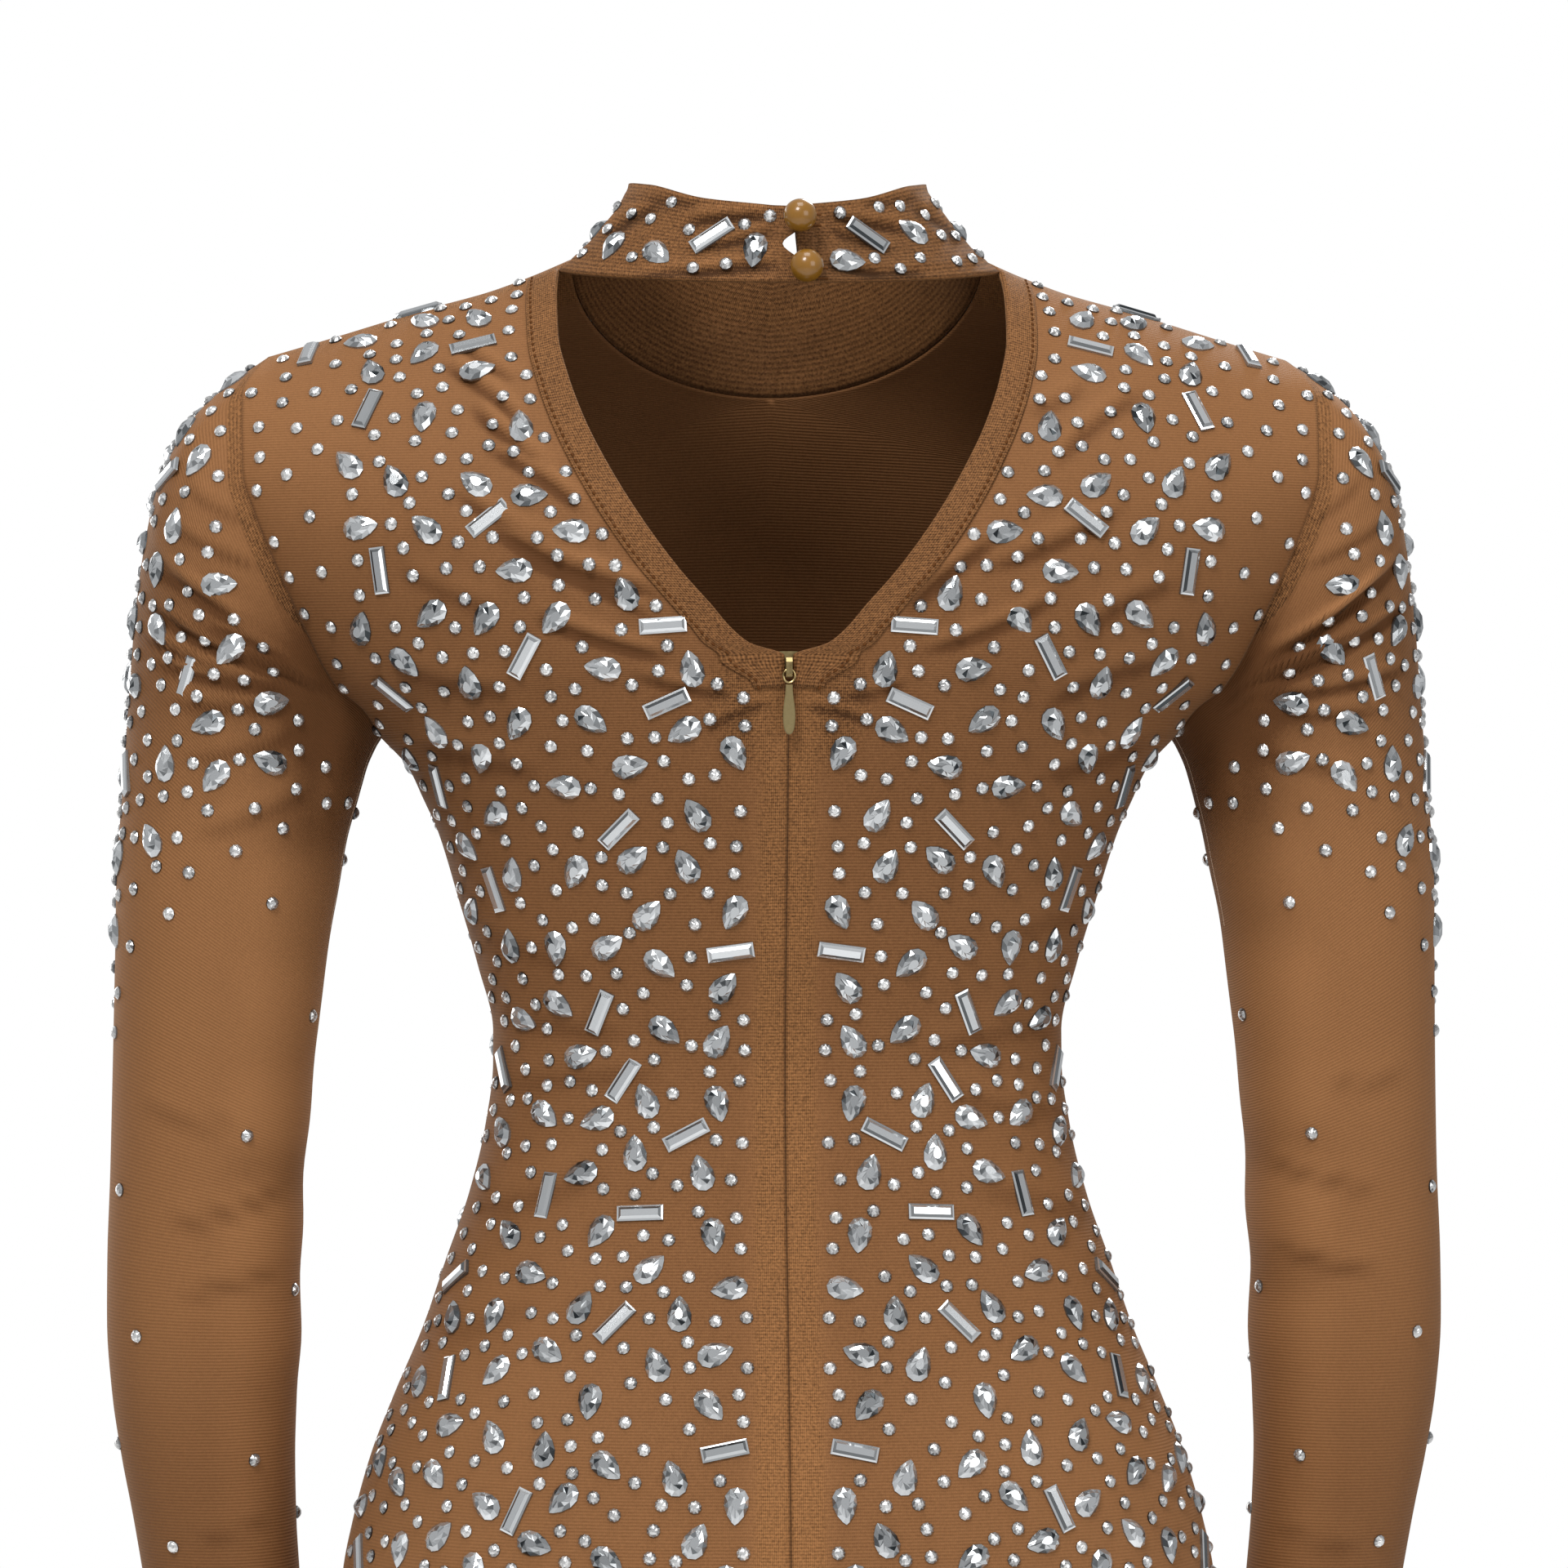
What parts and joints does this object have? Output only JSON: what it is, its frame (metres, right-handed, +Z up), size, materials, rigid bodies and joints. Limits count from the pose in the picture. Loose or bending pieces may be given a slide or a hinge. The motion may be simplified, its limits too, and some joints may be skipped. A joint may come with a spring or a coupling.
{
  "type": "bodycon dress",
  "caption": "Fitted long-sleeved dress of stretch mesh with glued stones, a stand collar, a V keyhole back, a centre-back zip and ball buttons, in worn form.",
  "frame": {"origin": "midway between the two points where the shoulder seams meet the collar, where the wearer's shoulders and neck hold the dress up", "axes": "+Z up, the front faces -Y, the wearer's left is +X"},
  "size_m": [0.529, 0.2569, 0.9315],
  "materials": {
    "mesh": "fine ribbed stretch mesh with a low sheen",
    "double_mesh": "the same mesh, two layers, matt",
    "zip_tape": "woven tape, matt",
    "zip_metal": "polished",
    "tab_enamel": "satin olive gold",
    "button": "high gloss",
    "thread": "matt thread"
  },
  "bodies": {
    "dress": {"front": "mesh", "back_left": "mesh", "back_right": "mesh", "sleeve_left": "mesh", "sleeve_right": "mesh", "collar": "double_mesh", "keyhole_binding_left": "double_mesh", "keyhole_binding_right": "double_mesh", "zip_tape_left": "zip_tape", "zip_tape_right": "zip_tape", "zip_slider": "zip_metal", "button_top": "button", "button_bottom": "button", "button_loop_top": "thread", "button_loop_bottom": "thread"},
    "zip_pull": {"zip_pull_ring": "zip_metal", "zip_pull_tab": "tab_enamel"}
  },
  "joints": [
    {"name": "zip_pull_swing", "type": "hinge", "parent": "dress", "child": "zip_pull", "pos_m": [0, 0.10038, -0.1614], "axis": [1, 0, 0], "range_deg": [0, 165]}
  ]
}
